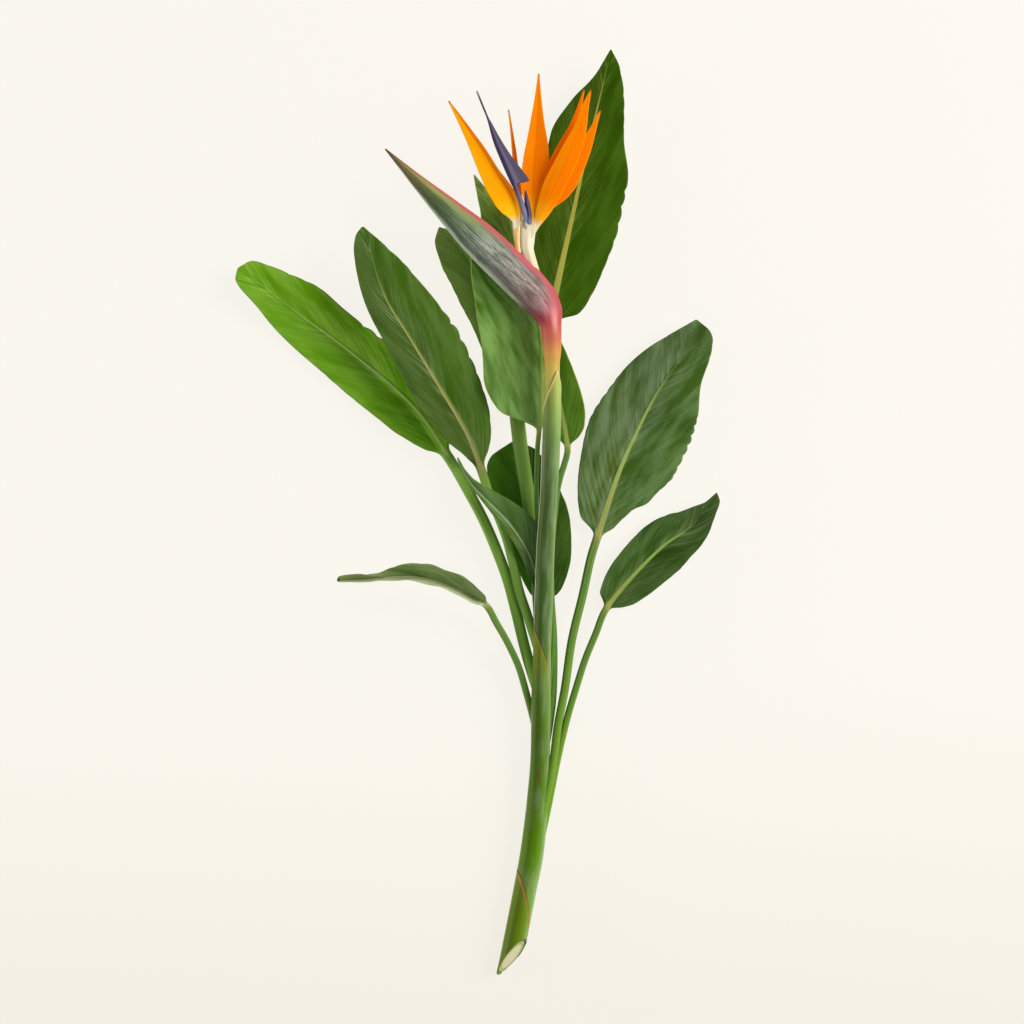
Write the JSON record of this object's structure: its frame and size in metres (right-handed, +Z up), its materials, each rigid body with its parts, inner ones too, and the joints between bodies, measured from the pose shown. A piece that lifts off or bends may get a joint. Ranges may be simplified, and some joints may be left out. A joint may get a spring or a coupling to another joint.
{
  "type": "bird of paradise flower",
  "caption": "Cut flowering stem lying flat: a beak-shaped bract with orange and blue flowers on a sheathed stalk, among long-stalked oval leaves.",
  "frame": {"origin": "centre of the bounding box on the surface that the stem lies on", "axes": "+Y from the cut end towards the flower, +X to the right seen from above, +Z up"},
  "size_m": [0.3822, 0.7371, 0.0736],
  "materials": {
    "stalk": "smooth grey-green stem with a pale bloom, cream pith at the cut",
    "sheath": "satin green sheathing bract with a red-brown rim",
    "spathe": "waxy grey-green beak with a crimson upper edge and purple-grey bloom",
    "flower_tube": "satin cream flower base",
    "sepal": "satin orange sepal, yellow towards its base",
    "blue_petal": "matte dark violet-blue petal",
    "leaf_deep": "satin deep green leaf with a pale midrib",
    "leaf_grey": "satin grey-green leaf with a broad pale midrib",
    "leaf_bright": "satin fresh green leaf with a fine pale midrib"
  },
  "bodies": {
    "root": {"stalk": "stalk", "sheath_upper": "sheath", "sheath_middle": "sheath", "sheath_lower": "sheath", "spathe": "spathe", "flower_front_tube": "flower_tube", "flower_back_tube": "flower_tube", "flower_front_sepal_left": "sepal", "flower_front_sepal_back": "sepal", "flower_front_sepal_right": "sepal", "flower_back_sepal_left": "sepal", "flower_back_sepal_right": "sepal", "flower_back_sepal_back": "sepal", "flower_front_tongue": "blue_petal", "flower_front_small_petal": "blue_petal", "leaf_tall": "leaf_deep", "leaf_back_low": "leaf_deep", "leaf_centre": "leaf_deep", "leaf_left_inner": "leaf_deep", "leaf_right_upper": "leaf_grey", "leaf_right_lower": "leaf_grey", "leaf_left_low": "leaf_grey", "leaf_centre_folded": "leaf_deep", "leaf_back_left": "leaf_deep", "leaf_left_outer": "leaf_bright", "leaf_centre_right": "leaf_bright"}
  },
  "joints": []
}
